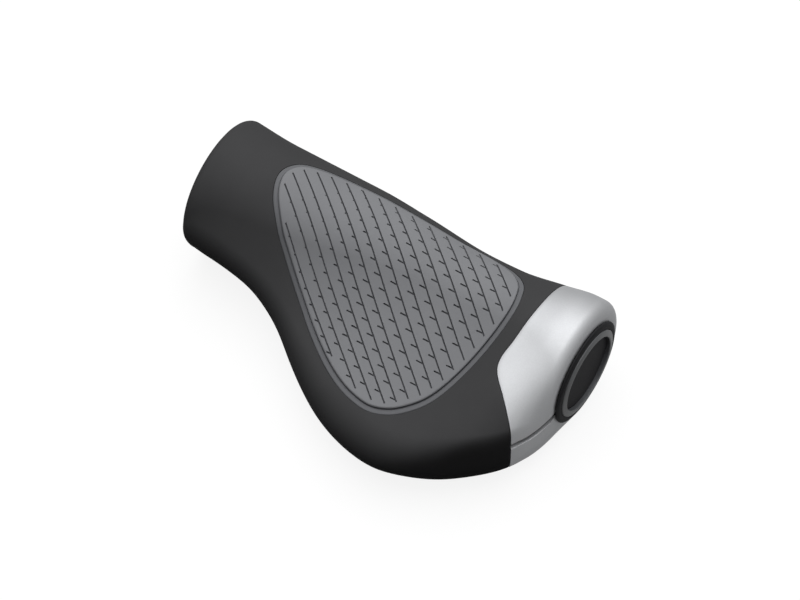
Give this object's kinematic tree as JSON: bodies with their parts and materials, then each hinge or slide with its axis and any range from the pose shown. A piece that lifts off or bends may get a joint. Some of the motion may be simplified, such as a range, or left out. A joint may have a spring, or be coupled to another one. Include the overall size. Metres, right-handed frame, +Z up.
{
  "type": "handlebar grip",
  "caption": "Right-hand bicycle handlebar grip with a palm wing, a grooved grey pad, a silver pinch clamp on the outer end and a round plug with a trim ring.",
  "frame": {"origin": "on the handlebar's axis at the grip's inner end face, the face towards the stem", "axes": "+X runs along the bar to the plugged outer end, -Y points at the rider along the palm wing, +Z is up"},
  "size_m": [0.1025, 0.0613, 0.034],
  "materials": {
    "black_rubber": "soft matt moulded rubber",
    "grey_rubber": "matt moulded rubber, grooved",
    "black_nylon": "satin moulded nylon",
    "silver_alloy": "bead blasted and clear anodised",
    "dark_steel": "black zinc plated",
    "grey_trim": "satin"
  },
  "bodies": {
    "root": {"grip_body": "black_rubber", "palm_pad": "grey_rubber", "core_sleeve": "black_nylon", "clamp": "silver_alloy", "pinch_bolt": "dark_steel", "end_plug": "black_nylon", "plug_ring": "grey_trim"}
  },
  "joints": []
}
